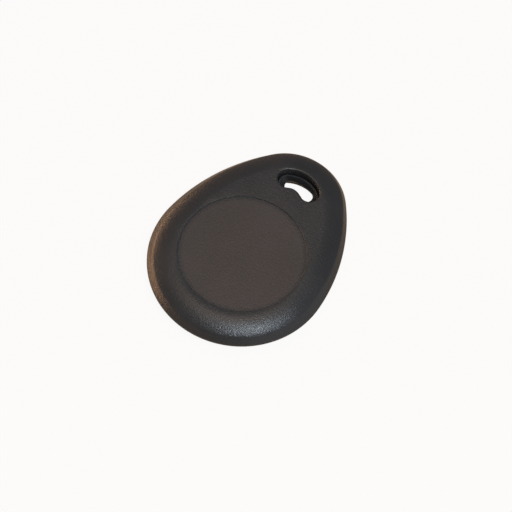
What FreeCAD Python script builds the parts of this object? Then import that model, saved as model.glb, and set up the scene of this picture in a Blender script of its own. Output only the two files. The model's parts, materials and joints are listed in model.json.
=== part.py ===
import FreeCAD, Part
import math
import os

import Sketcher

# RFID key fob tag: two domed ABS half shells welded at a flat parting plane, with a ring
# winding and a chip carrier sealed between them and a bean-shaped key-ring slot in the nose.
# Frame: +Z out of the front face, +Y from the disc's centre towards the slot, origin at the
# disc's centre line on the flat back face. Millimetres and degrees.

# Driving dimensions

SIZES = (
    # Outline at the parting plane: a wide end, two flanks and a nose, all tangent arcs
    ("wide_radius", 15.9),
    ("wide_setback", 0.55),
    ("flank_radius", 33.0),
    ("nose_radius", 10.4),
    ("nose_reach", 13.0),
    # Rim, where the sloping side band meets the domed face
    ("rim_side_inset", 1.1),
    ("rim_end_inset", 0.9),
    ("rim_nose_inset", 0.6),
    # Height of each shell over the parting plane, the upright land at its edge, and the
    # shoulder of its face
    ("shell_height", 2.6),
    ("edge_land", 0.2),
    ("shoulder_width", 3.4),
    ("shoulder_drop", 1.2),
    ("shoulder_radius", 7.4),
    ("recess_margin", 0.4),
    ("recess_depth", 0.25),
    # Key-ring opening in the face of each shell, and the web between it and the nose
    ("opening_inset", 4.35),
    ("opening_lobe_offset", 2.3),
    ("opening_lobe_radius", 1.75),
    ("opening_crown_radius", 5.65),
    ("opening_saddle_radius", 2.4),
    ("opening_chamfer", 0.25),
    # Lip of the eyelet in the middle of the slot, and the funnels that lead to it from both faces
    ("throat_inset", 5.29),
    ("throat_lobe_offset", 1.65),
    ("throat_lobe_radius", 1.1),
    ("throat_crown_radius", 6.5),
    ("throat_saddle_radius", 1.5),
    ("funnel_land", 0.3),
    ("funnel_depth", 0.9),
    ("collar_height", 1.0),
    ("collar_clearance", 0.15),
    ("boss_wall", 1.1),
    # Hollow of each shell
    ("cavity_wall", 2.4),
    ("cavity_depth", 1.35),
    ("cavity_corner", 0.6),
    # Weld joint: a tongue on the back shell in a groove of the front shell
    ("tongue_inset", 1.0),
    ("tongue_width", 0.4),
    ("tongue_height", 0.35),
    ("tongue_clearance", 0.05),
    # Winding and what locates it
    ("coil_side_gap", 1.6),
    ("coil_width", 1.7),
    ("coil_height", 1.25),
    ("coil_clearance", 0.1),
    ("post_radius", 0.55),
    ("post_height", 1.0),
    ("post_count", 6),
    ("rib_width", 0.8),
    ("rib_overhang", 0.35),
    ("rib_count", 4),
    # Chip carrier, its pads and the rails beside it
    ("carrier_setback", 5.2),
    ("carrier_length", 7.0),
    ("carrier_width", 4.0),
    ("carrier_thickness", 0.3),
    ("carrier_corner", 0.4),
    ("carrier_clearance", 0.1),
    ("rail_length", 4.0),
    ("rail_width", 0.5),
    ("rail_height", 0.45),
    ("pad_length", 1.4),
    ("pad_width", 2.4),
    ("pad_thickness", 0.07),
    ("pad_place", 2.5),
    ("glob_radius", 1.5),
    ("glob_height", 0.6),
    # Wire ends and their joints
    ("wire_radius", 0.1),
    ("wire_gap", 0.01),
    ("wire_lift", 0.04),
    ("wire_step", 0.7),
    ("wire_bend_radius", 1.0),
    ("wire_start_run", 1.2),
    ("joint_radius", 0.55),
    ("joint_height", 0.35),
    # Spots of glue
    ("carrier_glue_radius", 1.6),
    ("carrier_glue_thickness", 0.1),
    ("coil_glue_radius", 0.8),
    ("coil_glue_height", 0.7),
    ("coil_glue_count", 3),
    ("coil_glue_turn", 32.0),
)

SHEET = "Sizes"

doc = FreeCAD.newDocument("rfid_key_fob_tag")
sheet = doc.addObject("Spreadsheet::Sheet", SHEET)
sheet.Label = SHEET
for row, (alias, value) in enumerate(SIZES, start=1):
    sheet.set("A%d" % row, alias)
    sheet.set("B%d" % row, str(value))
    sheet.setAlias("B%d" % row, alias)
doc.recompute()


def size(alias):
    """The sheet's value of one driving dimension."""
    return float(sheet.get(alias))


def cells(text):
    """An expression in which each @name stands for a cell of the sheet."""
    return text.replace("@", SHEET + ".")


def value_of(text):
    """The number that such an expression gives."""
    return float(sheet.evalExpression(cells(text)))


# Sketches

def new_body(name):
    body = doc.addObject("PartDesign::Body", name)
    body.Label = name
    return body


def new_sketch(body, name, plane="XY_Plane", height=None):
    """A sketch on one of the body's own origin planes, lifted off it by an expression."""
    sketch = body.newObject("Sketcher::SketchObject", name)
    planes = [item for item in body.Origin.OriginFeatures if item.Role == plane]
    sketch.AttachmentSupport = (planes[0], [""])
    sketch.MapMode = "FlatFace"
    if height is not None:
        sketch.setExpression(".AttachmentOffset.Base.z", cells(height))
    return sketch


def bind(sketch, kind, *where_and_text):
    """A dimension of the sketch that follows an expression."""
    where = where_and_text[:-1]
    text = where_and_text[-1]
    index = sketch.addConstraint(Sketcher.Constraint(kind, *where, value_of(text)))
    sketch.setExpression("Constraints[%d]" % index, cells(text))


def fix(sketch, kind, *where):
    sketch.addConstraint(Sketcher.Constraint(kind, *where))


def arc(sketch, centre, radius, start, end):
    """An arc from one angle to the other, counterclockwise, and its number in the sketch."""
    circle = Part.Circle(FreeCAD.Vector(centre[0], centre[1], 0), FreeCAD.Vector(0, 0, 1), radius)
    return sketch.addGeometry(Part.ArcOfCircle(circle, start, end), False)


def line(sketch, start, end):
    """A line between two points, given as x and y, and its number in the sketch."""
    segment = Part.LineSegment(FreeCAD.Vector(*start, 0), FreeCAD.Vector(*end, 0))
    return sketch.addGeometry(segment, False)


ORIGIN = (-1, 1)
Y_AXIS = -2
START, END, CENTRE = range(1, 4)


def add_egg(sketch, wide, setback, flank, nose, reach):
    """Closed outline of tangent arcs. Each argument is an expression in the sheet's cells."""
    wide_radius = value_of(wide)
    wide_place = -value_of(setback)
    flank_radius = value_of(flank)
    nose_radius = value_of(nose)
    nose_place = value_of(reach)
    # The flank's centre is a known distance from the centres of both arcs that it meets
    to_wide = flank_radius - wide_radius
    to_nose = flank_radius - nose_radius
    span = nose_place - wide_place
    along = (to_wide ** 2 - to_nose ** 2 + span ** 2) / (2 * span)
    across = math.sqrt(to_wide ** 2 - along ** 2)
    flank_place = wide_place + along
    low = math.atan2(-along, across)
    high = math.atan2(span - along, across)
    bottom = -math.pi / 2
    right_wide = arc(sketch, (0, wide_place), wide_radius, bottom, low)
    right_flank = arc(sketch, (-across, flank_place), flank_radius, low, high)
    top = arc(sketch, (0, nose_place), nose_radius, high, math.pi - high)
    left_flank = arc(sketch, (across, flank_place), flank_radius, math.pi - high, math.pi - low)
    left_wide = arc(sketch, (0, wide_place), wide_radius, math.pi - low, bottom + 2 * math.pi)
    fix(sketch, "Tangent", right_wide, END, right_flank, START)
    fix(sketch, "Tangent", right_flank, END, top, START)
    fix(sketch, "Tangent", top, END, left_flank, START)
    fix(sketch, "Tangent", left_flank, END, left_wide, START)
    fix(sketch, "Coincident", left_wide, END, right_wide, START)
    fix(sketch, "Coincident", left_wide, CENTRE, right_wide, CENTRE)
    fix(sketch, "PointOnObject", right_wide, CENTRE, Y_AXIS)
    fix(sketch, "PointOnObject", right_wide, START, Y_AXIS)
    fix(sketch, "PointOnObject", top, CENTRE, Y_AXIS)
    fix(sketch, "Equal", right_flank, left_flank)
    bind(sketch, "Radius", right_wide, wide)
    bind(sketch, "Radius", right_flank, flank)
    bind(sketch, "Radius", top, nose)
    bind(sketch, "DistanceY", right_wide, CENTRE, *ORIGIN, setback)
    bind(sketch, "DistanceY", *ORIGIN, top, CENTRE, reach)


def add_outline(sketch, inset="0"):
    """The tag's outline at the parting plane, moved inwards by an expression."""
    add_egg(
        sketch,
        "@wide_radius - (%s)" % inset,
        "@wide_setback",
        "@flank_radius - (%s)" % inset,
        "@nose_radius - (%s)" % inset,
        "@nose_reach",
    )


def add_rim(sketch):
    """The rim's outline, which comes nearer to the tag's outline at the nose."""
    add_egg(
        sketch,
        "@wide_radius - @rim_side_inset",
        "@wide_setback - @rim_end_inset + @rim_side_inset",
        "@flank_radius - @rim_side_inset",
        "@nose_radius - @rim_nose_inset",
        "@nose_reach",
    )


def crown_place(name):
    """Where the crown of the opening or the throat has its centre, measured from the nose."""
    return "@nose_reach + @nose_radius - @%s_inset - @%s_crown_radius" % (name, name)


def lobe_place(crown_y, crown_radius, lobe_radius, lobe_x):
    """How far along the tag the lobes lie that run tangent into the crown."""
    return crown_y + math.sqrt((crown_radius - lobe_radius) ** 2 - lobe_x ** 2)


def add_bean(sketch, name, grow="0"):
    """The key-ring slot's outline, of the opening or the throat, made larger by grow."""
    offset = "@%s_lobe_offset" % name
    lobe = "@%s_lobe_radius + (%s)" % (name, grow)
    crown = "@%s_crown_radius + (%s)" % (name, grow)
    saddle = "@%s_saddle_radius - (%s)" % (name, grow)
    lobe_x = value_of(offset)
    lobe_radius = value_of(lobe)
    crown_radius = value_of(crown)
    saddle_radius = value_of(saddle)
    crown_y = value_of(crown_place(name))
    lobe_y = lobe_place(crown_y, crown_radius, lobe_radius, lobe_x)
    saddle_y = lobe_y - math.sqrt((saddle_radius + lobe_radius) ** 2 - lobe_x ** 2)
    high = math.atan2(lobe_y - crown_y, lobe_x)
    low = math.atan2(lobe_y - saddle_y, lobe_x)
    far = arc(sketch, (0, crown_y), crown_radius, high, math.pi - high)
    left = arc(sketch, (-lobe_x, lobe_y), lobe_radius, math.pi - high, 2 * math.pi - low)
    near = arc(sketch, (0, saddle_y), saddle_radius, low, math.pi - low)
    right = arc(sketch, (lobe_x, lobe_y), lobe_radius, low - math.pi, high)
    fix(sketch, "Tangent", far, END, left, START)
    fix(sketch, "Tangent", left, END, near, END)
    fix(sketch, "Tangent", near, START, right, START)
    fix(sketch, "Tangent", right, END, far, START)
    fix(sketch, "Symmetric", right, CENTRE, left, CENTRE, Y_AXIS)
    fix(sketch, "Equal", right, left)
    bind(sketch, "Radius", right, lobe)
    bind(sketch, "Radius", far, crown)
    bind(sketch, "Radius", near, saddle)
    bind(sketch, "DistanceX", *ORIGIN, right, CENTRE, offset)
    bind(sketch, "DistanceY", *ORIGIN, far, CENTRE, crown_place(name))


def add_circle(sketch, x, y, radius):
    """A circle whose centre and radius follow expressions. The centre may be on either axis."""
    centre = FreeCAD.Vector(value_of(x), value_of(y), 0)
    circle = Part.Circle(centre, FreeCAD.Vector(0, 0, 1), value_of(radius))
    index = sketch.addGeometry(circle, False)
    bind(sketch, "Radius", index, radius)
    bind(sketch, "DistanceX", *ORIGIN, index, CENTRE, x)
    bind(sketch, "DistanceY", *ORIGIN, index, CENTRE, y)


def add_polygon(sketch, corners):
    """A closed polygon whose corners are pairs of expressions."""
    points = [(value_of(x), value_of(y)) for x, y in corners]
    sides = [line(sketch, here, there) for here, there in zip(points, points[1:] + points[:1])]
    for side, following, (x, y) in zip(sides, sides[1:] + sides[:1], corners):
        fix(sketch, "Coincident", side, END, following, START)
        bind(sketch, "DistanceX", *ORIGIN, side, START, x)
        bind(sketch, "DistanceY", *ORIGIN, side, START, y)


def add_rectangle(sketch, x, y, length, width):
    """A rectangle about the point x, y."""
    left = "(%s) - (%s) / 2" % (x, length)
    right = "(%s) + (%s) / 2" % (x, length)
    near = "(%s) - (%s) / 2" % (y, width)
    far = "(%s) + (%s) / 2" % (y, width)
    add_polygon(sketch, ((left, near), (right, near), (right, far), (left, far)))


# Features

def volume(body):
    """The body's volume so far, and zero before its first feature."""
    doc.recompute()
    return 0.0 if body.Shape.isNull() else body.Shape.Volume


def pad(body, sketch, length, downwards=False):
    """Material from the sketch up, or down, by an expression."""
    before = volume(body)
    feature = body.newObject("PartDesign::Pad", sketch.Name + "_pad")
    feature.Profile = sketch
    feature.Reversed = downwards
    feature.setExpression("Length", cells(length))
    if volume(body) <= before:
        raise ValueError(feature.Name + " adds nothing")
    return feature


def pocket(body, sketch, length, upwards=False):
    """A cut from the sketch down, or up, by an expression."""
    before = volume(body)
    feature = body.newObject("PartDesign::Pocket", sketch.Name + "_pocket")
    feature.Profile = sketch
    feature.Reversed = upwards
    feature.setExpression("Length", cells(length))
    if volume(body) >= before:
        raise ValueError(feature.Name + " cuts nothing")
    return feature


def loft(body, kind, first, second):
    """Straight-sided material, or a cut, from one outline to another."""
    feature = body.newObject("PartDesign::" + kind, first.Name + "_loft")
    feature.Profile = first
    feature.Sections = [second]
    feature.Ruled = True
    doc.recompute()


def polar(body, feature, count):
    """Copies of a feature all round the disc's centre line."""
    pattern = body.newObject("PartDesign::PolarPattern", feature.Name + "_polar")
    pattern.Originals = [feature]
    axes = [item for item in body.Origin.OriginFeatures if item.Role == "Z_Axis"]
    pattern.Axis = (axes[0], [""])
    pattern.Angle = 360
    pattern.setExpression("Occurrences", cells(count))
    body.Tip = pattern
    doc.recompute()


TOLERANCE = 0.001


def edges_at(body, height, inside):
    """Names of the body's level edges at a height whose middle passes the test."""
    found = []
    for index, edge in enumerate(body.Shape.Edges, start=1):
        box = edge.BoundBox
        level = abs(box.ZMin - height) < TOLERANCE and abs(box.ZMax - height) < TOLERANCE
        if level and inside(edge.valueAt((edge.FirstParameter + edge.LastParameter) / 2)):
            found.append("Edge%d" % index)
    return found


EDGE_SIZES = {"Fillet": "Radius", "Chamfer": "Size"}


def soften(body, kind, name, edges, text):
    """A fillet or a chamfer on named edges of the body as it stands."""
    if not edges:
        raise ValueError(name + " has no edges")
    feature = body.newObject("PartDesign::" + kind, name)
    feature.Base = (feature.BaseFeature, edges)
    feature.setExpression(EDGE_SIZES[kind], cells(text))
    doc.recompute()


def soften_level(body, kind, name, height, inside, text):
    """A fillet or a chamfer on the level edges at one height that pass the test."""
    doc.recompute()
    soften(body, kind, name, edges_at(body, value_of(height), inside), text)


# Outer form that both shells share, drawn upwards from the parting plane

FACE = "@shell_height"
RIM_HEIGHT = "@shell_height - @shoulder_drop"
OUTSIDE = 1.0


def shoulder_profile(body, name):
    """What is cut away over the shoulder, drawn across the wide end of the rim."""
    sketch = new_sketch(body, name, "YZ_Plane")
    rim_y = value_of("-(@wide_setback - @rim_end_inset + @rim_side_inset)"
                     " - @wide_radius + @rim_side_inset")
    rim_z = value_of(RIM_HEIGHT)
    edge_y = rim_y + size("shoulder_width")
    face_z = size("shell_height")
    radius = size("shoulder_radius")
    chord = math.hypot(edge_y - rim_y, face_z - rim_z)
    lean = math.atan2(face_z - rim_z, edge_y - rim_y)
    sagitta_side = math.sqrt(radius ** 2 - (chord / 2) ** 2)
    centre = (
        (rim_y + edge_y) / 2 + sagitta_side * math.sin(lean),
        (rim_z + face_z) / 2 - sagitta_side * math.cos(lean),
    )
    first = math.atan2(face_z - centre[1], edge_y - centre[0])
    last = math.atan2(rim_z - centre[1], rim_y - centre[0])
    shoulder = arc(sketch, centre, radius, first, last)
    corners = (
        (rim_y, rim_z),
        (rim_y - OUTSIDE, rim_z),
        (rim_y - OUTSIDE, face_z + OUTSIDE),
        (edge_y, face_z + OUTSIDE),
        (edge_y, face_z),
    )
    lines = [line(sketch, here, there) for here, there in zip(corners, corners[1:])]
    fix(sketch, "Coincident", shoulder, END, lines[0], START)
    fix(sketch, "Coincident", lines[0], END, lines[1], START)
    fix(sketch, "Coincident", lines[1], END, lines[2], START)
    fix(sketch, "Coincident", lines[2], END, lines[3], START)
    fix(sketch, "Coincident", lines[3], END, shoulder, START)
    fix(sketch, "Horizontal", lines[0])
    fix(sketch, "Vertical", lines[1])
    fix(sketch, "Horizontal", lines[2])
    fix(sketch, "Vertical", lines[3])
    bind(sketch, "DistanceX", lines[0], START, *ORIGIN,
         "@wide_setback - @rim_end_inset + @wide_radius")
    bind(sketch, "DistanceY", *ORIGIN, lines[0], START, RIM_HEIGHT)
    bind(sketch, "DistanceX", lines[0], END, lines[0], START, str(OUTSIDE))
    bind(sketch, "DistanceX", shoulder, END, shoulder, START, "@shoulder_width")
    bind(sketch, "DistanceY", shoulder, END, shoulder, START, "@shoulder_drop")
    bind(sketch, "DistanceY", shoulder, START, lines[2], END, str(OUTSIDE))
    bind(sketch, "Radius", shoulder, "@shoulder_radius")
    return sketch


def outer_form(body, name):
    """Upright land at the edge, a side band that slopes up to the rim, and the domed face."""
    edge = new_sketch(body, name + "_edge", height="0")
    add_outline(edge)
    pad(body, edge, "@edge_land")
    outline = new_sketch(body, name + "_outline", height="@edge_land")
    add_outline(outline)
    band_top = new_sketch(body, name + "_band_top", height=RIM_HEIGHT)
    add_rim(band_top)
    loft(body, "AdditiveLoft", outline, band_top)
    dome = new_sketch(body, name + "_dome", height=RIM_HEIGHT)
    add_rim(dome)
    pad(body, dome, "@shoulder_drop")
    path = new_sketch(body, name + "_rim_path", height=RIM_HEIGHT)
    add_rim(path)
    before = volume(body)
    shoulder = body.newObject("PartDesign::SubtractivePipe", name + "_shoulder")
    shoulder.Profile = shoulder_profile(body, name + "_shoulder_profile")
    shoulder.Spine = (path, [])
    if volume(body) >= before:
        raise ValueError(shoulder.Name + " cuts nothing")


def anywhere(point):
    return True


def hollow(body, name):
    """The shell's hollow with its corners filled, and the solid boss that the slot goes through."""
    cavity = new_sketch(body, name + "_cavity", height="0")
    add_outline(cavity, "@cavity_wall")
    pocket(body, cavity, "@cavity_depth", upwards=True)
    soften_level(
        body, "Chamfer", name + "_cavity_corner", "@cavity_depth", anywhere, "@cavity_corner")
    boss = new_sketch(body, name + "_boss", height="0")
    add_bean(boss, "opening", "@boss_wall")
    pad(body, boss, "@cavity_depth")


def in_slot(point):
    """Whether a point of a level face lies on the key-ring slot's own edge."""
    offset = size("opening_lobe_offset")
    lobe = size("opening_lobe_radius")
    crown = size("opening_crown_radius")
    crown_y = value_of(crown_place("opening"))
    lowest = lobe_place(crown_y, crown, lobe, offset) - lobe
    beside = abs(point.x) < offset + lobe + TOLERANCE
    return beside and lowest - TOLERANCE < point.y < crown_y + crown + TOLERANCE


# Radii and places inside the tag, worked inwards from its outline

RECESS_RADIUS = "@wide_radius - @rim_side_inset - @shoulder_width - @recess_margin"
COIL_OUTER = "(@wide_radius - @cavity_wall - @coil_side_gap)"
COIL_INNER = "(%s - @coil_width)" % COIL_OUTER
CARRIER_PLACE = "(@carrier_setback - %s)" % COIL_INNER


# Front shell: domed face with a round recess, the ring opening, a weld groove and ribs that
# hold the winding down

RIB_FOOT = "@coil_height - @cavity_depth + @coil_clearance"

front_shell = new_body("front_shell")
outer_form(front_shell, "front")
hollow(front_shell, "front")

rib = new_sketch(front_shell, "front_rib", height=RIB_FOOT)
add_rectangle(
    rib,
    "(%s + %s) / 2" % (COIL_INNER, COIL_OUTER),
    "0",
    "@coil_width + 2 * @rib_overhang",
    "@rib_width",
)
rib_pad = pad(front_shell, rib, "@cavity_depth - (%s)" % RIB_FOOT)
polar(front_shell, rib_pad, "@rib_count")

recess = new_sketch(front_shell, "front_recess", height=FACE)
add_circle(recess, "0", "0", RECESS_RADIUS)
pocket(front_shell, recess, "@recess_depth")

opening = new_sketch(front_shell, "front_opening", height=FACE)
add_bean(opening, "opening")
pocket(front_shell, opening, "@shell_height")
soften_level(
    front_shell, "Chamfer", "front_opening_bevel", FACE, in_slot, "@opening_chamfer")

groove = new_sketch(front_shell, "front_groove", height="0")
add_outline(groove, "@tongue_inset - @tongue_clearance")
add_outline(groove, "@tongue_inset + @tongue_width + @tongue_clearance")
pocket(front_shell, groove, "@tongue_height + @tongue_clearance", upwards=True)

front_shell.setExpression("Placement.Base.z", cells(FACE))


# Back shell: the same outer form turned over, with the eyelet collar that stands up inside the
# front shell's opening, the weld tongue, posts inside the winding and rails beside the carrier.
# The eyelet's lip lies at the parting plane, and the slot widens from it towards both faces.

back_shell = new_body("back_shell")
outer_form(back_shell, "back")
hollow(back_shell, "back")

post = new_sketch(back_shell, "back_post", height="@cavity_depth - @post_height")
add_circle(post, COIL_INNER + " - @coil_clearance - @post_radius", "0", "@post_radius")
post_pad = pad(back_shell, post, "@post_height")
polar(back_shell, post_pad, "@post_count")

RAIL_SHIFT = "(@carrier_width / 2 + @carrier_clearance + @rail_width / 2)"
rails = new_sketch(back_shell, "back_rails", height="@cavity_depth - @rail_height")
add_rectangle(rails, "0", CARRIER_PLACE + " + " + RAIL_SHIFT, "@rail_length", "@rail_width")
add_rectangle(rails, "0", CARRIER_PLACE + " - " + RAIL_SHIFT, "@rail_length", "@rail_width")
pad(back_shell, rails, "@rail_height")

collar = new_sketch(back_shell, "back_collar", height="0")
add_bean(collar, "opening", "-@collar_clearance")
pad(back_shell, collar, "@collar_height", downwards=True)

throat = new_sketch(back_shell, "back_throat", height=FACE)
add_bean(throat, "throat")
pocket(back_shell, throat, "@shell_height + @collar_height")

back_opening = new_sketch(back_shell, "back_opening", height=FACE)
add_bean(back_opening, "opening")
pocket(back_shell, back_opening, "@shell_height - @collar_height")


def funnel(name, mouth_height, end_height):
    """The sloping cut from one face of the eyelet down to its lip."""
    mouth = new_sketch(back_shell, name + "_mouth", height=mouth_height)
    add_bean(mouth, "opening", "-@collar_clearance - @funnel_land")
    end = new_sketch(back_shell, name + "_end", height=end_height)
    add_bean(end, "throat")
    before = volume(back_shell)
    loft(back_shell, "SubtractiveLoft", mouth, end)
    if volume(back_shell) >= before:
        raise ValueError(name + " cuts nothing")


funnel("front_funnel", "-@collar_height", "@funnel_depth - @collar_height")
funnel("back_funnel", "@collar_height", "@collar_height - @funnel_depth")
soften_level(
    back_shell, "Chamfer", "back_opening_bevel", FACE, in_slot, "@opening_chamfer")

tongue = new_sketch(back_shell, "back_tongue", height="0")
add_outline(tongue, "@tongue_inset")
add_outline(tongue, "@tongue_inset + @tongue_width")
pad(back_shell, tongue, "@tongue_height", downwards=True)

TURNED_OVER = FreeCAD.Rotation(FreeCAD.Vector(0, 1, 0), 180)
back_shell.Placement = FreeCAD.Placement(FreeCAD.Vector(0, 0, size("shell_height")), TURNED_OVER)
back_shell.setExpression("Placement.Base.z", cells(FACE))


# Levels inside the tag, from the outer face of the back shell upwards

FLOOR = "@shell_height - @cavity_depth"
BOARD = FLOOR + " + @carrier_glue_thickness"
BOARD_TOP = BOARD + " + @carrier_thickness"
PAD_TOP = BOARD_TOP + " + @pad_thickness"


def revolve(body, sketch):
    """A full turn of the sketch about its upright axis."""
    feature = body.newObject("PartDesign::Revolution", sketch.Name + "_turned")
    feature.Profile = sketch
    feature.ReferenceAxis = (sketch, ["V_Axis"])
    feature.Angle = 360
    doc.recompute()


def cap(name, x, y, z, radius, height):
    """A drop with a round foot and a spherical top, standing at a place."""
    body = new_body(name)
    sketch = new_sketch(body, name + "_section", "XZ_Plane")
    foot = value_of(radius)
    top = value_of(height)
    ball = (foot ** 2 + top ** 2) / (2 * top)
    rim_angle = math.atan2(ball - top, foot)
    dome = arc(sketch, (0, top - ball), ball, rim_angle, math.pi / 2)
    axis = line(sketch, (0, top), (0, 0))
    base = line(sketch, (0, 0), (foot, 0))
    fix(sketch, "Coincident", dome, END, axis, START)
    fix(sketch, "Coincident", axis, END, base, START)
    fix(sketch, "Coincident", base, END, dome, START)
    fix(sketch, "Coincident", axis, END, *ORIGIN)
    fix(sketch, "Vertical", axis)
    fix(sketch, "Horizontal", base)
    fix(sketch, "PointOnObject", dome, CENTRE, Y_AXIS)
    bind(sketch, "DistanceX", base, START, base, END, radius)
    bind(sketch, "DistanceY", axis, END, axis, START, height)
    revolve(body, sketch)
    body.setExpression("Placement.Base.x", cells(x))
    body.setExpression("Placement.Base.y", cells(y))
    body.setExpression("Placement.Base.z", cells(z))
    doc.recompute()
    return body


def without(name, body, tool):
    """A piece that has flowed round another: its drop less the other's shape."""
    piece = doc.addObject("Part::Cut", name)
    piece.Label = name
    piece.Base = body
    piece.Tool = tool
    doc.recompute()
    return piece


# Ring winding of enamelled wire, bonded into one ring

antenna_coil = new_body("antenna_coil")
section = new_sketch(antenna_coil, "coil_section", "XZ_Plane")
add_polygon(section, (
    (COIL_INNER, FLOOR),
    (COIL_OUTER, FLOOR),
    (COIL_OUTER, FLOOR + " + @coil_height"),
    (COIL_INNER, FLOOR + " + @coil_height"),
))
revolve(antenna_coil, section)


# Chip carrier with its glue, pads and the epoxy drop over the chip

carrier_adhesive = new_body("carrier_adhesive")
glue_spot = new_sketch(carrier_adhesive, "glue_spot", height=FLOOR)
add_circle(glue_spot, "0", CARRIER_PLACE, "@carrier_glue_radius")
pad(carrier_adhesive, glue_spot, "@carrier_glue_thickness")

chip_carrier = new_body("chip_carrier")
board = new_sketch(chip_carrier, "board", height=BOARD)
add_rectangle(board, "0", CARRIER_PLACE, "@carrier_length", "@carrier_width")
pad(chip_carrier, board, "@carrier_thickness")
upright = [
    "Edge%d" % index
    for index, edge in enumerate(chip_carrier.Shape.Edges, start=1)
    if edge.BoundBox.ZLength > size("carrier_thickness") / 2
]
soften(chip_carrier, "Fillet", "board_corners", upright, "@carrier_corner")

chip_glob_top = cap(
    "chip_glob_top", "0", CARRIER_PLACE, BOARD_TOP, "@glob_radius", "@glob_height")


def contact_pad(name, side):
    body = new_body(name)
    sketch = new_sketch(body, name + "_shape", height=BOARD_TOP)
    add_rectangle(
        sketch, "%s * @pad_place" % side, CARRIER_PLACE, "@pad_length", "@pad_width")
    pad(body, sketch, "@pad_thickness")
    return body


def coil_lead(name, side):
    """One end of the wire, from the winding's inner face to the middle of its pad."""
    body = new_body(name)
    level = PAD_TOP + " + @wire_lift + @wire_radius"
    start_y = CARRIER_PLACE + " - @wire_step"
    start_x = "sqrt((%s - @wire_gap)^2 - (%s - @wire_radius)^2)" % (COIL_INNER, start_y)
    bend_x = "(%s) - @wire_start_run" % start_x
    turn = math.atan2(size("wire_step"), value_of("(%s) - @pad_place" % bend_x))
    trim = size("wire_bend_radius") * math.tan(turn / 2)
    path = new_sketch(body, name + "_path", height=level)
    points = (
        (side * value_of(start_x), value_of(start_y)),
        (side * (value_of(bend_x) + trim), value_of(start_y)),
        (side * (value_of(bend_x) - trim * math.cos(turn)),
         value_of(start_y) + trim * math.sin(turn)),
        (side * size("pad_place"), value_of(CARRIER_PLACE)),
    )
    first = line(path, points[0], points[1])
    centre = (points[1][0], points[1][1] + size("wire_bend_radius"))
    if side > 0:
        bend = arc(path, centre, size("wire_bend_radius"), -math.pi / 2 - turn, -math.pi / 2)
        bend_near, bend_far = END, START
    else:
        bend = arc(path, centre, size("wire_bend_radius"), -math.pi / 2, -math.pi / 2 + turn)
        bend_near, bend_far = START, END
    last = line(path, points[2], points[3])
    fix(path, "Tangent", first, END, bend, bend_near)
    fix(path, "Tangent", bend, bend_far, last, START)
    fix(path, "Horizontal", first)
    bind(path, "Radius", bend, "@wire_bend_radius")
    bind(path, "DistanceX", *ORIGIN, first, START, "%d * (%s)" % (side, start_x))
    bind(path, "DistanceY", *ORIGIN, first, START, start_y)
    bind(path, "DistanceX", *ORIGIN, last, END, "%d * @pad_place" % side)
    bind(path, "DistanceY", *ORIGIN, last, END, CARRIER_PLACE)
    bind(path, "DistanceX", *ORIGIN, first, END, "%d * (%s)" % (side, bend_x))
    section = new_sketch(body, name + "_section", "YZ_Plane", "%d * (%s)" % (side, start_x))
    add_circle(section, start_y, level, "@wire_radius")
    wire = body.newObject("PartDesign::AdditivePipe", name + "_wire")
    wire.Profile = section
    wire.Spine = (path, [])
    doc.recompute()
    return body


pieces = [front_shell, back_shell, antenna_coil, carrier_adhesive, chip_carrier, chip_glob_top]
for end_name, side in (("start", -1), ("finish", 1)):
    lead = coil_lead("coil_lead_" + end_name, side)
    drop = cap(
        "joint_drop_" + end_name,
        "%d * @pad_place" % side,
        CARRIER_PLACE,
        PAD_TOP,
        "@joint_radius",
        "@joint_height",
    )
    pieces.append(contact_pad("contact_pad_" + end_name, side))
    pieces.append(lead)
    pieces.append(without("solder_joint_" + end_name, drop, lead))


# Spots of glue in the corner between the winding and the floor, between the posts

for number in range(int(size("coil_glue_count"))):
    angle = "(%d * 360 / @coil_glue_count + @coil_glue_turn) * 1 deg" % number
    drop = cap(
        "glue_drop_%d" % (number + 1),
        "%s * cos(%s)" % (COIL_INNER, angle),
        "%s * sin(%s)" % (COIL_INNER, angle),
        FLOOR,
        "@coil_glue_radius",
        "@coil_glue_height",
    )
    pieces.append(without("coil_adhesive_%d" % (number + 1), drop, antenna_coil))


# Check and write

doc.recompute()
for item in doc.Objects:
    if "Invalid" in item.State or "Error" in item.State:
        raise ValueError("%s failed: %s" % (item.Name, item.State))
for piece in pieces:
    if piece.Shape.isNull() or not piece.Shape.isValid() or not piece.Shape.Solids:
        raise ValueError(piece.Label + " has no valid solid")

os.makedirs("parts", exist_ok=True)
for piece in pieces:
    piece.Shape.exportStep("parts/%s.step" % piece.Label)
    print(piece.Label, len(piece.Shape.Solids), round(piece.Shape.Volume, 3))
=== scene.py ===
# A dark teardrop key tag of two welded ABS shells, lying on its flat back on a plain pale floor.
# Frame: metres, +Z out of the front face, +Y from the round recess towards the key-ring slot.

import json
import math

import bmesh
import bpy
from mathutils import Matrix, Vector

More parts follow.
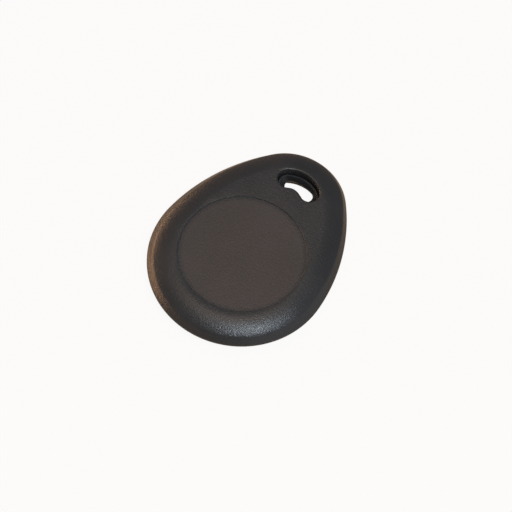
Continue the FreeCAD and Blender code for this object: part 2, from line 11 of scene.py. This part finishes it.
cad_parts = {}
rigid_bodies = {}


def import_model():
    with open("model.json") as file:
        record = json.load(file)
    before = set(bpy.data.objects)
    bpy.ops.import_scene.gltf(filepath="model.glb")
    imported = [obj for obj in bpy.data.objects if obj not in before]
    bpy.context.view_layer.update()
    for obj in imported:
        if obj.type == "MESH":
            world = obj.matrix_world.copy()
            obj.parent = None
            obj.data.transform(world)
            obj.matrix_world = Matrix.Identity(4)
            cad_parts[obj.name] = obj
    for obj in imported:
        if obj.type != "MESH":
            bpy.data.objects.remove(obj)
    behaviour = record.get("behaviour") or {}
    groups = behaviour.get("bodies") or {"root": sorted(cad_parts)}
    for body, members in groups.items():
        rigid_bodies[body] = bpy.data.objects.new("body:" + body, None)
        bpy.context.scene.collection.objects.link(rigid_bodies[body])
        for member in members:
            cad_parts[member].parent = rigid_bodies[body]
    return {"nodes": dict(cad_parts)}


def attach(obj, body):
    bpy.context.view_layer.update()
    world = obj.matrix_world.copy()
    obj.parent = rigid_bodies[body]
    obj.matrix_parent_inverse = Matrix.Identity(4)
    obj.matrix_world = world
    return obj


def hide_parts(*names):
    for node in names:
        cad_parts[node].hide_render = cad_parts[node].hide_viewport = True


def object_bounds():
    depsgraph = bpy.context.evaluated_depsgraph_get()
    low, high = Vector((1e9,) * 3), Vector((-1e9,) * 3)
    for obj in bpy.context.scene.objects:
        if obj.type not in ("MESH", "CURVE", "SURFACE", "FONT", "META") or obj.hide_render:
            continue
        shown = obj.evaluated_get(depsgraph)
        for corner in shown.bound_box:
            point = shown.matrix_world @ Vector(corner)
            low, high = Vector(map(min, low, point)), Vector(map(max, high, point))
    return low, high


MM = 0.001

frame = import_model()
cad_low, cad_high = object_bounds()
nodes = frame["nodes"]

# Heights in the tag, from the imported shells, in millimetres

FACE_HEIGHT = cad_high.z / MM
PARTING = FACE_HEIGHT / 2


# Camera: a long lens over the wide end, looking down at the face, a little rolled

PICTURE_SIDE = 512
SENSOR = 36.0
CAMERA_DISTANCE = 600.0 * MM
PIXELS_PER_METRE = 5870.0
DISC_PIXEL = (242.3, 253.2)
TO_CAMERA = Vector((0.233, -0.394, 0.885)).normalized()
UPRIGHT_ANGLE = math.radians(84.0)
CLIP_RATIO = 100


def picture_axes():
    """The picture's right and up, with the tag's upright leaning at its angle in the picture."""
    upright = Vector((0, 0, 1))
    upright -= upright.dot(TO_CAMERA) * TO_CAMERA
    upright.normalize()
    beside = TO_CAMERA.cross(upright)
    right = math.cos(UPRIGHT_ANGLE) * upright - math.sin(UPRIGHT_ANGLE) * beside
    up = math.sin(UPRIGHT_ANGLE) * upright + math.cos(UPRIGHT_ANGLE) * beside
    return right, up


def make_camera():
    """The photograph's camera, with the recess's centre at its place in the picture."""
    right, up = picture_axes()
    data = bpy.data.cameras.new("camera")
    data.sensor_width = SENSOR
    data.lens = SENSOR * CAMERA_DISTANCE * PIXELS_PER_METRE / PICTURE_SIDE
    data.clip_start = CAMERA_DISTANCE / CLIP_RATIO
    data.clip_end = CAMERA_DISTANCE * CLIP_RATIO
    camera = bpy.data.objects.new("camera", data)
    bpy.context.scene.collection.objects.link(camera)
    middle = PICTURE_SIDE / 2
    aside = (middle - DISC_PIXEL[0]) / PIXELS_PER_METRE
    above = (DISC_PIXEL[1] - middle) / PIXELS_PER_METRE
    target = Vector((0, 0, FACE_HEIGHT * MM)) + right * aside + up * above
    turn = Matrix((right, up, TO_CAMERA)).transposed()
    camera.matrix_world = Matrix.Translation(target + TO_CAMERA * CAMERA_DISTANCE) @ turn.to_4x4()
    bpy.context.scene.camera = camera


# Materials


class Shader:
    """A new material with its nodes: one principled shader, wired to the output."""

    def __init__(self, name, colour, roughness, metallic=0.0):
        self.material = bpy.data.materials.new(name)
        self.material.use_nodes = True
        self.tree = self.material.node_tree
        self.tree.nodes.clear()
        self.output = self.node("ShaderNodeOutputMaterial")
        self.surface = self.node("ShaderNodeBsdfPrincipled")
        self.surface.inputs["Base Color"].default_value = (*colour, 1)
        self.surface.inputs["Roughness"].default_value = roughness
        self.surface.inputs["Metallic"].default_value = metallic
        self.link(self.surface.outputs[0], self.output.inputs["Surface"])
        self.place = self.node("ShaderNodeTexCoord").outputs["Object"]

    def node(self, kind):
        return self.tree.nodes.new(kind)

    def link(self, source, target):
        self.tree.links.new(source, target)

    def grain(self, size, detail=2.0, blur=0.5):
        """Noise whose grains are about a size across, in millimetres."""
        noise = self.node("ShaderNodeTexNoise")
        noise.inputs["Scale"].default_value = 1 / (size * MM)
        noise.inputs["Detail"].default_value = detail
        noise.inputs["Roughness"].default_value = blur
        self.link(self.place, noise.inputs["Vector"])
        return noise.outputs["Fac"]

    def spread(self, source, low, high, start=0.3, end=0.7):
        """The source's middle range laid over another range."""
        spread = self.node("ShaderNodeMapRange")
        spread.inputs["From Min"].default_value = start
        spread.inputs["From Max"].default_value = end
        spread.inputs["To Min"].default_value = low
        spread.inputs["To Max"].default_value = high
        self.link(source, spread.inputs["Value"])
        return spread.outputs["Result"]

    def combine(self, kind, first, second=0.0):
        """Arithmetic on one or two sources or numbers."""
        node = self.node("ShaderNodeMath")
        node.operation = kind
        for socket, value in zip(node.inputs, (first, second)):
            if isinstance(value, (int, float)):
                socket.default_value = value
            else:
                self.link(value, socket)
        return node.outputs[0]

    def tint(self, share, low, high):
        """A colour between two by a share."""
        mix = self.node("ShaderNodeMix")
        mix.data_type = "RGBA"
        self.link(share, mix.inputs["Factor"])
        mix.inputs["A"].default_value = (*low, 1)
        mix.inputs["B"].default_value = (*high, 1)
        return mix.outputs["Result"]

    def colour(self, source):
        self.link(source, self.surface.inputs["Base Color"])

    def roughness(self, source):
        self.link(source, self.surface.inputs["Roughness"])

    def relief(self, source, depth):
        """Bump from a source, of a depth in millimetres."""
        bump = self.node("ShaderNodeBump")
        bump.inputs["Distance"].default_value = depth * MM
        self.link(source, bump.inputs["Height"])
        self.link(bump.outputs[0], self.surface.inputs["Normal"])


# Satin ABS: sizes in millimetres, colours as dark and light mottling, and in the recess browner
# colours that are a painted reflection of warm light from above

SHELL_COLOURS = ((0.027, 0.027, 0.027), (0.033, 0.032, 0.032))
# Painted reflection: the recess's browner colours stand in for the warm overhead light that its
# flat floor reflects
RECESS_PAINTED_REFLECTION = ((0.052, 0.041, 0.036), (0.060, 0.047, 0.042))
ABS_ROUGHNESS = 0.4
GRAIN_ROUGHNESS = (0.27, 0.37)
FLOW_ROUGHNESS = (-0.02, 0.02)
RECESS_DULLNESS = 0.06
MOULD_GRAIN = 0.3
MOULD_DETAIL = 3.0
MOULD_BLUR = 0.6
GRAIN_DEPTH = 0.06
FLOW_SIZE = 7.0
# Soft edge of the recess mask, which carries the painted reflection colour and the duller roughness
RECESS_MASK_EDGE = (10.2, 11.0)


def recess_share(shader):
    """One inside the recess and none outside it, with a soft step at its edge."""
    level = shader.node("ShaderNodeVectorMath")
    level.operation = "MULTIPLY"
    level.inputs[1].default_value = (1, 1, 0)
    shader.link(shader.place, level.inputs[0])
    reach = shader.node("ShaderNodeVectorMath")
    reach.operation = "LENGTH"
    shader.link(level.outputs["Vector"], reach.inputs[0])
    edge_start, edge_end = RECESS_MASK_EDGE
    return shader.spread(reach.outputs["Value"], 1, 0, edge_start * MM, edge_end * MM)


def satin_abs(name, skin, recess=None):
    """Satin ABS with a fine spark-eroded texture, and in a recess a duller skin whose browner
    colour is a painted reflection of warm light from above.
    """
    shader = Shader(name, skin[0], ABS_ROUGHNESS)
    grain = shader.grain(MOULD_GRAIN, MOULD_DETAIL, MOULD_BLUR)
    flow = shader.grain(FLOW_SIZE)
    shader.relief(grain, GRAIN_DEPTH)
    rough = shader.combine(
        "ADD", shader.spread(grain, *GRAIN_ROUGHNESS), shader.spread(flow, *FLOW_ROUGHNESS))
    colour = shader.tint(shader.spread(flow, 0.0, 1.0), *skin)
    # The browner colour mixed into the recess is a painted reflection of warm light from above; its
    # added roughness is real
    if recess:
        within = recess_share(shader)
        mix = shader.node("ShaderNodeMix")
        mix.data_type = "RGBA"
        shader.link(within, mix.inputs["Factor"])
        shader.link(colour, mix.inputs["A"])
        shader.link(shader.tint(shader.spread(flow, 0.0, 1.0), *recess), mix.inputs["B"])
        colour = mix.outputs["Result"]
        rough = shader.combine("ADD", rough, shader.combine("MULTIPLY", within, RECESS_DULLNESS))
    shader.colour(colour)
    shader.roughness(rough)
    return shader.material


# Enamelled copper: the turns' pitch and relief and the mottling's size in millimetres

WIRE_COLOUR = (0.50, 0.19, 0.08)
WIRE_MOTTLING = ((0.42, 0.14, 0.05), (0.62, 0.27, 0.11))
WIRE_ROUGHNESS = 0.3
WIRE_METAL = 0.9
WIRE_PITCH = 0.1
WIRE_RELIEF = 0.02
WIRE_STAIN = 1.2


def enamelled_copper(name):
    """A bonded winding: fine turns of copper wire under clear enamel."""
    shader = Shader(name, WIRE_COLOUR, WIRE_ROUGHNESS, WIRE_METAL)
    split = shader.node("ShaderNodeSeparateXYZ")
    shader.link(shader.place, split.inputs[0])
    across = shader.combine("MULTIPLY", split.outputs["X"], split.outputs["X"])
    along = shader.combine("MULTIPLY", split.outputs["Y"], split.outputs["Y"])
    radius = shader.combine("SQRT", shader.combine("ADD", across, along))
    turns = shader.combine("ADD", radius, split.outputs["Z"])
    phase = shader.combine("MULTIPLY", turns, 2 * math.pi / (WIRE_PITCH * MM))
    shader.relief(shader.combine("SINE", phase), WIRE_RELIEF)
    shader.colour(shader.tint(shader.grain(WIRE_STAIN), *WIRE_MOTTLING))
    return shader.material


UNEVENNESS = 0.15


def speckled(name, dark, light, roughness, size, depth, metallic=0.0):
    """A plain material with fine mottling and a slightly uneven skin."""
    shader = Shader(name, dark, roughness, metallic)
    grain = shader.grain(size)
    shader.colour(shader.tint(shader.spread(grain, 0.0, 1.0), dark, light))
    shader.roughness(shader.spread(
        grain, roughness * (1 - UNEVENNESS), roughness * (1 + UNEVENNESS)))
    shader.relief(grain, depth)
    return shader.material


def paint(name, material):
    """Gives a CAD node its material."""
    node = nodes[name]
    node.data.materials.clear()
    node.data.materials.append(material)


# Floor and light, in metres and watts

FLOOR_SIDE = 3.0
FLOOR_COLOUR = (0.85, 0.60, 0.40)
FLOOR_ROUGHNESS = 0.9
SHADOW_KEEP = 0.07


def make_floor():
    """Pale card: plain white to the camera with a trace of shadow, and warm in reflections."""
    shader = Shader("pale_card", FLOOR_COLOUR, FLOOR_ROUGHNESS)
    white = shader.node("ShaderNodeEmission")
    path = shader.node("ShaderNodeLightPath")
    share = shader.combine("MULTIPLY", path.outputs["Is Camera Ray"], 1 - SHADOW_KEEP)
    mix = shader.node("ShaderNodeMixShader")
    shader.link(share, mix.inputs[0])
    shader.link(shader.surface.outputs[0], mix.inputs[1])
    shader.link(white.outputs[0], mix.inputs[2])
    shader.link(mix.outputs[0], shader.output.inputs["Surface"])
    bpy.ops.object.select_all(action="DESELECT")
    bpy.ops.mesh.primitive_plane_add(size=FLOOR_SIDE, location=(0, 0, 0))
    floor = bpy.context.object
    floor.name = "floor"
    floor.data.materials.append(shader.material)


def soft_light(name, towards, distance, length, width, power, colour):
    """A soft light that looks at the tag from a direction, as long and wide as given."""
    data = bpy.data.lights.new(name, "AREA")
    data.shape = "RECTANGLE"
    data.size = length
    data.size_y = width
    data.energy = power
    data.color = colour
    light = bpy.data.objects.new(name, data)
    light.visible_camera = False
    bpy.context.scene.collection.objects.link(light)
    direction = Vector(towards).normalized()
    light.matrix_world = (
        Matrix.Translation(direction * distance)
        @ direction.to_track_quat("Z", "Y").to_matrix().to_4x4()
    )


ROOM_COLOUR = (0.68, 0.69, 0.75, 1)
ROOM_STRENGTH = 0.24


def make_room():
    """A dim cool room all round, which the camera sees as white."""
    world = bpy.data.worlds.new("studio")
    world.use_nodes = True
    tree = world.node_tree
    tree.nodes.clear()
    room = tree.nodes.new("ShaderNodeBackground")
    room.inputs["Color"].default_value = ROOM_COLOUR
    room.inputs["Strength"].default_value = ROOM_STRENGTH
    white = tree.nodes.new("ShaderNodeBackground")
    white.inputs["Color"].default_value = (1, 1, 1, 1)
    path = tree.nodes.new("ShaderNodeLightPath")
    mix = tree.nodes.new("ShaderNodeMixShader")
    tree.links.new(path.outputs["Is Camera Ray"], mix.inputs[0])
    tree.links.new(room.outputs[0], mix.inputs[1])
    tree.links.new(white.outputs[0], mix.inputs[2])
    output = tree.nodes.new("ShaderNodeOutputWorld")
    tree.links.new(mix.outputs[0], output.inputs["Surface"])
    bpy.context.scene.world = world


def make_lights():
    """A cool light above, a warm one by the ceiling, and a warm and a cool one low at the sides."""
    make_room()
    soft_light(
        "overhead", towards=(0.38, -0.20, 0.90), distance=0.8,
        length=0.20, width=0.20, power=3.4, colour=(0.78, 0.89, 1.0))
    soft_light(
        "ceiling", towards=(-0.08, 0.05, 0.99), distance=1.0,
        length=0.50, width=0.50, power=1.9, colour=(1.0, 0.78, 0.62))
    soft_light(
        "warm_side", towards=(-0.97, -0.15, 0.065), distance=0.8,
        length=1.1, width=0.09, power=5.2, colour=(1.0, 0.55, 0.29))
    soft_light(
        "cool_side", towards=(0.85, -0.05, 0.25), distance=0.8,
        length=1.6, width=0.30, power=0.9, colour=(0.78, 0.88, 1.0))


# Outlines of the tag, as runs of tangent arcs: centre x, centre y, radius, first angle, turn, steps

WIDE_RADIUS = (15.9, 14.8)
WIDE_PLACE = (-0.55, -0.75)
FLANK_RADIUS = (33.0, 31.9)
NOSE_RADIUS = (10.4, 9.8)
NOSE_PLACE = 13.0
EGG_STEPS = (72, 20, 32)

CROWN_RADIUS = (5.65, 6.5)
CROWN_PLACE = (13.4, 11.61)
LOBE_RADIUS = (1.75, 1.1)
LOBE_OFFSET = (2.3, 1.65)
SADDLE_RADIUS = (2.4, 1.5)
BEAN_STEPS = (16, 14, 10)


def between(pair, share):
    """The length that lies at a share of the way from a pair's first to its second."""
    return pair[0] + (pair[1] - pair[0]) * share


def egg(share, inset):
    """The tag's outline, from its edge at share 0 to its rim at share 1, brought in by an inset."""
    wide = between(WIDE_RADIUS, share) - inset
    wide_y = between(WIDE_PLACE, share)
    flank = between(FLANK_RADIUS, share) - inset
    nose = between(NOSE_RADIUS, share) - inset
    gap = NOSE_PLACE - wide_y
    lift = ((flank - wide) ** 2 - (flank - nose) ** 2 + gap ** 2) / (2 * gap)
    aside = math.sqrt((flank - wide) ** 2 - lift ** 2)
    low = math.atan2(-lift, aside)
    high = math.atan2(gap - lift, aside)
    wide_steps, flank_steps, nose_steps = EGG_STEPS
    return (
        (0, wide_y, wide, math.pi - low, math.pi + 2 * low, wide_steps),
        (-aside, wide_y + lift, flank, low, high - low, flank_steps),
        (0, NOSE_PLACE, nose, high, math.pi - 2 * high, nose_steps),
        (aside, wide_y + lift, flank, math.pi - high, high - low, flank_steps),
    )


def bean(share, grow):
    """The slot's outline, from its opening at share 0 to the eyelet's lip at share 1, grown."""
    crown = between(CROWN_RADIUS, share)
    crown_y = between(CROWN_PLACE, share)
    lobe = between(LOBE_RADIUS, share)
    lobe_x = between(LOBE_OFFSET, share)
    saddle = between(SADDLE_RADIUS, share)
    lobe_y = crown_y + math.sqrt((crown - lobe) ** 2 - lobe_x ** 2)
    saddle_y = lobe_y - math.sqrt((saddle + lobe) ** 2 - lobe_x ** 2)
    top = math.atan2(lobe_y - crown_y, lobe_x)
    bottom = math.atan2(lobe_y - saddle_y, lobe_x)
    crown_steps, lobe_steps, saddle_steps = BEAN_STEPS
    round_lobe = math.pi + top - bottom
    return (
        (0, crown_y, crown + grow, top, math.pi - 2 * top, crown_steps),
        (-lobe_x, lobe_y, lobe + grow, math.pi - top, round_lobe, lobe_steps),
        (0, saddle_y, saddle - grow, math.pi - bottom, 2 * bottom - math.pi, saddle_steps),
        (lobe_x, lobe_y, lobe + grow, math.pi + bottom, round_lobe, lobe_steps),
    )


# Modelling by hand: reaches in millimetres, and the angle from which an edge stays crisp

PLACE_DIGITS = 4
MERGE_REACH = 0.001
LEVEL = 0.01
CREASE = math.radians(32.0)


def open_piece(name):
    """An empty piece, open in edit mode."""
    bpy.ops.object.select_all(action="DESELECT")
    bpy.ops.mesh.primitive_plane_add(size=MM)
    piece = bpy.context.object
    piece.name = name
    piece.data.name = name
    bpy.ops.object.mode_set(mode="EDIT")
    bpy.ops.mesh.delete(type="VERT")
    return piece


def place_of(vertex):
    """Where a vertex lies, to a tenth of a micrometre."""
    return tuple(round(length / MM, PLACE_DIGITS) for length in vertex.co)


def picked(piece):
    """The places of the vertices that are selected now."""
    mesh = bmesh.from_edit_mesh(piece.data)
    return {place_of(vertex) for vertex in mesh.verts if vertex.select}


def select(piece, *loops):
    """Selects the vertices that lie on some loops."""
    bpy.ops.mesh.select_all(action="DESELECT")
    wanted = set().union(*loops)
    mesh = bmesh.from_edit_mesh(piece.data)
    for vertex in mesh.verts:
        vertex.select = place_of(vertex) in wanted
    mesh.select_flush(True)
    bmesh.update_edit_mesh(piece.data)


def lay_loop(piece, arcs, height):
    """A closed loop of arcs, spun one after the other from a single vertex."""
    x, y, radius, angle = arcs[0][:4]
    start = (x + radius * math.cos(angle), y + radius * math.sin(angle), height)
    bpy.ops.mesh.select_all(action="DESELECT")
    bpy.ops.mesh.primitive_plane_add(size=MM, location=Vector(start) * MM)
    bpy.ops.mesh.merge(type="CENTER")
    for x, y, radius, angle, turn, steps in arcs:
        centre = Vector((x, y, height)) * MM
        bpy.ops.mesh.spin(steps=steps, angle=-turn, center=centre, axis=(0, 0, 1))
    bpy.ops.mesh.select_linked()
    bpy.ops.mesh.remove_doubles(threshold=MERGE_REACH * MM)
    return picked(piece)


def fill_between(piece, *loops):
    """A flat face with its openings, bounded by loops of one height."""
    select(piece, *loops)
    bpy.ops.mesh.fill(use_beauty=True)


def lay_strip(piece, outline, rings):
    """Loops of one outline, each at its share, offset and height, with a band between each two."""
    first = last = last_height = None
    for share, offset, height in rings:
        loop = lay_loop(piece, outline(share, offset), height)
        if last is None:
            first = loop
        elif abs(height - last_height) < LEVEL:
            fill_between(piece, last, loop)
        else:
            select(piece, last, loop)
            bpy.ops.mesh.bridge_edge_loops()
        last, last_height = loop, height
    return first, last


def stand(piece, loop, rise):
    """A post, rail or rib drawn out from its loop and closed at its end."""
    select(piece, loop)
    bpy.ops.mesh.extrude_region_move(TRANSFORM_OT_translate={"value": (0, 0, rise * MM)})
    bpy.ops.mesh.edge_face_add()


def lay_circle(piece, x, y, height, radius, corners):
    """A closed loop round a post."""
    bpy.ops.mesh.select_all(action="DESELECT")
    bpy.ops.mesh.primitive_circle_add(
        vertices=corners, radius=radius * MM, location=Vector((x, y, height)) * MM)
    return picked(piece)


def lay_oblong(piece, x, y, height, length, width):
    """A closed loop round a rib or rail."""
    bpy.ops.mesh.select_all(action="DESELECT")
    place = Vector((x, y, height)) * MM
    bpy.ops.mesh.primitive_plane_add(size=length * MM, location=place)
    bpy.ops.transform.resize(value=(1, width / length, 1), center_override=place)
    loop = picked(piece)
    bpy.ops.mesh.delete(type="ONLY_FACE")
    return loop


def close_piece(piece, material):
    """Faces turned outwards, smooth curves, crisp corners and true flat areas."""
    bpy.ops.mesh.select_all(action="SELECT")
    bpy.ops.mesh.normals_make_consistent(inside=False)
    bpy.ops.object.mode_set(mode="OBJECT")
    bpy.ops.object.shade_smooth_by_angle(angle=CREASE)
    weights = piece.modifiers.new("weights", "WEIGHTED_NORMAL")
    weights.keep_sharp = True
    bpy.ops.object.modifier_apply(modifier=weights.name)
    piece.data.materials.append(material)
    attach(piece, "root")


# Sections of the two shells, as shares, offsets and heights from the parting plane

LAND = 0.2
WELD_ROUNDING = 0.06
RIM_RISE = 1.4
RIM_SOFTNESS = 0.24
SHOULDER_WIDTH = 3.4
SHOULDER_RADIUS = 7.4
SHELL_RISE = FACE_HEIGHT - PARTING
SLOT_ROUNDING = 0.3
ROUND_STEPS = 4
WELD_STEPS = 2
LAND_STEPS = 3
MOUTH_STEPS = 6
SHOULDER_STEPS = 8
CAVITY_WALL = 2.4
CAVITY_DEPTH = 1.35
CAVITY_CORNER = 0.6
BOSS_WALL = 1.1


def corner(before, at, after, steps=ROUND_STEPS):
    """A soft corner between two points of a section, drawn in towards the corner itself."""
    points = []
    for step in range(steps + 1):
        share = step / steps
        points.append(tuple(
            (1 - share) ** 2 * a + 2 * share * (1 - share) * b + share ** 2 * c
            for a, b, c in zip(before, at, after)
        ))
    return points


def shoulder(slope_from, slope_to, inset, rise, steps):
    """The shoulder's arc from one slope to another, starting at an inset and rise."""
    points = []
    for step in range(1, steps + 1):
        slope = slope_from + (slope_to - slope_from) * step / steps
        points.append((
            1,
            inset + SHOULDER_RADIUS * (math.sin(slope_from) - math.sin(slope)),
            rise + SHOULDER_RADIUS * (math.cos(slope) - math.cos(slope_from)),
        ))
    return points


def outer_section():
    """From the parting plane over the weld's land, the side band and the rim to the flat face."""
    chord = math.hypot(SHOULDER_WIDTH, SHELL_RISE - RIM_RISE)
    tilt = math.atan2(SHELL_RISE - RIM_RISE, SHOULDER_WIDTH)
    half = math.asin(chord / 2 / SHOULDER_RADIUS)
    steepest, flattest = tilt + half, tilt - half
    band = RIM_RISE - LAND
    soft = RIM_SOFTNESS / band
    dome_start = shoulder(steepest, steepest - RIM_SOFTNESS / SHOULDER_RADIUS, 0, RIM_RISE, 1)[0]
    section = corner((0, WELD_ROUNDING, 0), (0, 0, 0), (0, 0, WELD_ROUNDING), WELD_STEPS)
    section += corner(
        (0, 0, LAND - WELD_ROUNDING), (0, 0, LAND), (soft / 2, 0, LAND + RIM_SOFTNESS / 2),
        LAND_STEPS)
    section += corner((1 - soft, 0, RIM_RISE - RIM_SOFTNESS), (1, 0, RIM_RISE), dome_start)
    section += shoulder(
        steepest - RIM_SOFTNESS / SHOULDER_RADIUS, flattest, dome_start[1], dome_start[2],
        SHOULDER_STEPS)
    return section


def slot_mouth():
    """The slot's straight wall and the rounding of its edge, from the wall to the flat face."""
    return corner((0, 0, SHELL_RISE - SLOT_ROUNDING), (0, 0, SHELL_RISE),
                  (0, SLOT_ROUNDING, SHELL_RISE), MOUTH_STEPS)


TONGUE_INSET = 1.0
TONGUE_WIDTH = 0.4
TONGUE_HEIGHT = 0.35
TONGUE_CLEARANCE = 0.05

RECESS_RADIUS = 11.0
RECESS_DEPTH = 0.25
RECESS_EDGE = 0.1
RECESS_STEPS = 160
RECESS_EDGE_STEPS = 3
RECESS_FOOT_STEPS = 2
RIB_PLACE = 11.05
RIB_LENGTH = 2.4
RIB_WIDTH = 0.8


def raised(section):
    """A section lifted to the front shell's heights."""
    return [(share, offset, PARTING + rise) for share, offset, rise in section]


def lowered(section):
    """A section turned down to the back shell's heights."""
    return [(share, offset, PARTING - rise) for share, offset, rise in section]


def circle(share, offset):
    """The recess's circle, grown by an offset."""
    return ((0, 0, RECESS_RADIUS + offset, 0, math.pi, RECESS_STEPS // 2),
            (0, 0, RECESS_RADIUS + offset, math.pi, math.pi, RECESS_STEPS // 2))


def make_front_shell(material):
    """The domed cover: recess, slot, weld groove, eyelet boss and four ribs over the coil."""
    piece = open_piece("front_shell_moulding")
    groove_out = TONGUE_INSET - TONGUE_CLEARANCE
    groove_in = TONGUE_INSET + TONGUE_WIDTH + TONGUE_CLEARANCE
    groove_top = TONGUE_HEIGHT + TONGUE_CLEARANCE
    inside = [
        (0, CAVITY_WALL + CAVITY_CORNER, CAVITY_DEPTH),
        (0, CAVITY_WALL, CAVITY_DEPTH - CAVITY_CORNER),
        (0, CAVITY_WALL, 0),
        (0, groove_in, 0),
        (0, groove_in, groove_top),
        (0, groove_out, groove_top),
        (0, groove_out, 0),
    ]
    roof, face = lay_strip(piece, egg, raised(inside + outer_section()))
    through = [(0, BOSS_WALL, CAVITY_DEPTH), (0, BOSS_WALL, 0), (0, 0, 0)] + slot_mouth()
    boss, mouth = lay_strip(piece, bean, raised(through))
    recess = corner((0, RECESS_EDGE, SHELL_RISE), (0, 0, SHELL_RISE),
                    (0, 0, SHELL_RISE - RECESS_EDGE), RECESS_EDGE_STEPS)
    floor_level = SHELL_RISE - RECESS_DEPTH
    recess += corner((0, 0, floor_level + RECESS_EDGE / 2), (0, 0, floor_level),
                     (0, -RECESS_EDGE / 2, floor_level), RECESS_FOOT_STEPS)
    edge, recess_floor = lay_strip(piece, circle, raised(recess))
    select(piece, recess_floor)
    bpy.ops.mesh.edge_face_add()
    fill_between(piece, face, mouth, edge)
    roof_height = PARTING + CAVITY_DEPTH
    ribs = [
        lay_oblong(piece, RIB_PLACE, 0, roof_height, RIB_LENGTH, RIB_WIDTH),
        lay_oblong(piece, 0, RIB_PLACE, roof_height, RIB_WIDTH, RIB_LENGTH),
        lay_oblong(piece, -RIB_PLACE, 0, roof_height, RIB_LENGTH, RIB_WIDTH),
        lay_oblong(piece, 0, -RIB_PLACE, roof_height, RIB_WIDTH, RIB_LENGTH),
    ]
    fill_between(piece, roof, boss, *ribs)
    for rib in ribs:
        stand(piece, rib, -CAVITY_DEPTH)
    close_piece(piece, material)
    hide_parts("front_shell")


COLLAR_CLEARANCE = 0.15
COLLAR_HEIGHT = 1.0
COLLAR_EDGE = 0.06
COLLAR_STEPS = 2
FUNNEL_LAND = 0.3
FUNNEL_DEPTH = 0.9
POST_RING = 9.55
POST_RADIUS = 0.55
POST_HEIGHT = 1.0
POST_COUNT = 6
POST_CORNERS = 20
RAIL_PLACES = (-2.65, -7.35)
RAIL_LENGTH = 4.0
RAIL_WIDTH = 0.5
RAIL_HEIGHT = 0.45


def make_back_shell(material):
    """The flat-backed half: weld tongue, eyelet collar with its lip, coil posts and chip rails."""
    piece = open_piece("back_shell_moulding")
    inside = [
        (0, CAVITY_WALL + CAVITY_CORNER, CAVITY_DEPTH),
        (0, CAVITY_WALL, CAVITY_DEPTH - CAVITY_CORNER),
        (0, CAVITY_WALL, 0),
        (0, TONGUE_INSET + TONGUE_WIDTH, 0),
        (0, TONGUE_INSET + TONGUE_WIDTH, -TONGUE_HEIGHT),
        (0, TONGUE_INSET, -TONGUE_HEIGHT),
        (0, TONGUE_INSET, 0),
    ]
    base, back = lay_strip(piece, egg, lowered(inside + outer_section()))
    land = -COLLAR_CLEARANCE - FUNNEL_LAND
    lip = COLLAR_HEIGHT - FUNNEL_DEPTH
    through = [(0, BOSS_WALL, CAVITY_DEPTH), (0, BOSS_WALL, 0), (0, -COLLAR_CLEARANCE, 0)]
    through += corner((0, -COLLAR_CLEARANCE, COLLAR_EDGE - COLLAR_HEIGHT),
                      (0, -COLLAR_CLEARANCE, -COLLAR_HEIGHT),
                      (0, -COLLAR_CLEARANCE - COLLAR_EDGE, -COLLAR_HEIGHT), COLLAR_STEPS)
    through += [(0, land, -COLLAR_HEIGHT), (1, 0, -lip), (1, 0, lip), (0, land, COLLAR_HEIGHT),
                (0, 0, COLLAR_HEIGHT)]
    boss, mouth = lay_strip(piece, bean, lowered(through + slot_mouth()))
    fill_between(piece, back, mouth)
    base_height = PARTING - CAVITY_DEPTH
    posts = []
    for turn in range(POST_COUNT):
        angle = 2 * math.pi * turn / POST_COUNT
        posts.append(lay_circle(
            piece, POST_RING * math.cos(angle), POST_RING * math.sin(angle), base_height,
            POST_RADIUS, POST_CORNERS))
    rails = [
        lay_oblong(piece, 0, place, base_height, RAIL_LENGTH, RAIL_WIDTH)
        for place in RAIL_PLACES
    ]
    fill_between(piece, base, boss, *posts, *rails)
    for post in posts:
        stand(piece, post, POST_HEIGHT)
    for rail in rails:
        stand(piece, rail, RAIL_HEIGHT)
    close_piece(piece, material)
    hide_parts("back_shell")


make_camera()
make_floor()
make_lights()

# The front shell's recess gets a painted reflection of warm overhead light in its colour
make_front_shell(satin_abs("front_plastic", SHELL_COLOURS, RECESS_PAINTED_REFLECTION))
make_back_shell(satin_abs("back_plastic", SHELL_COLOURS))

wire = enamelled_copper("coil_wire")
pad_gold = speckled(
    "pad_copper", dark=(0.72, 0.46, 0.18), light=(0.80, 0.55, 0.24),
    roughness=0.28, size=0.4, depth=0.004, metallic=1.0)
solder = speckled(
    "solder", dark=(0.55, 0.55, 0.57), light=(0.68, 0.68, 0.70),
    roughness=0.25, size=0.3, depth=0.01, metallic=1.0)
glue = speckled(
    "glue", dark=(0.58, 0.47, 0.28), light=(0.68, 0.58, 0.38),
    roughness=0.2, size=0.9, depth=0.02)
for name in nodes:
    if name.startswith("coil_adhesive") or name == "carrier_adhesive":
        paint(name, glue)
    elif name.startswith(("antenna", "coil_lead")):
        paint(name, wire)
    elif name.startswith("contact_pad"):
        paint(name, pad_gold)
    elif name.startswith("solder_joint"):
        paint(name, solder)
paint("chip_carrier", speckled(
    "carrier_board", dark=(0.025, 0.14, 0.06), light=(0.035, 0.19, 0.08),
    roughness=0.4, size=0.25, depth=0.006))
paint("chip_glob_top", speckled(
    "chip_epoxy", dark=(0.012, 0.012, 0.013), light=(0.018, 0.018, 0.019),
    roughness=0.22, size=0.7, depth=0.02))

bpy.context.scene.view_settings.view_transform = "Standard"
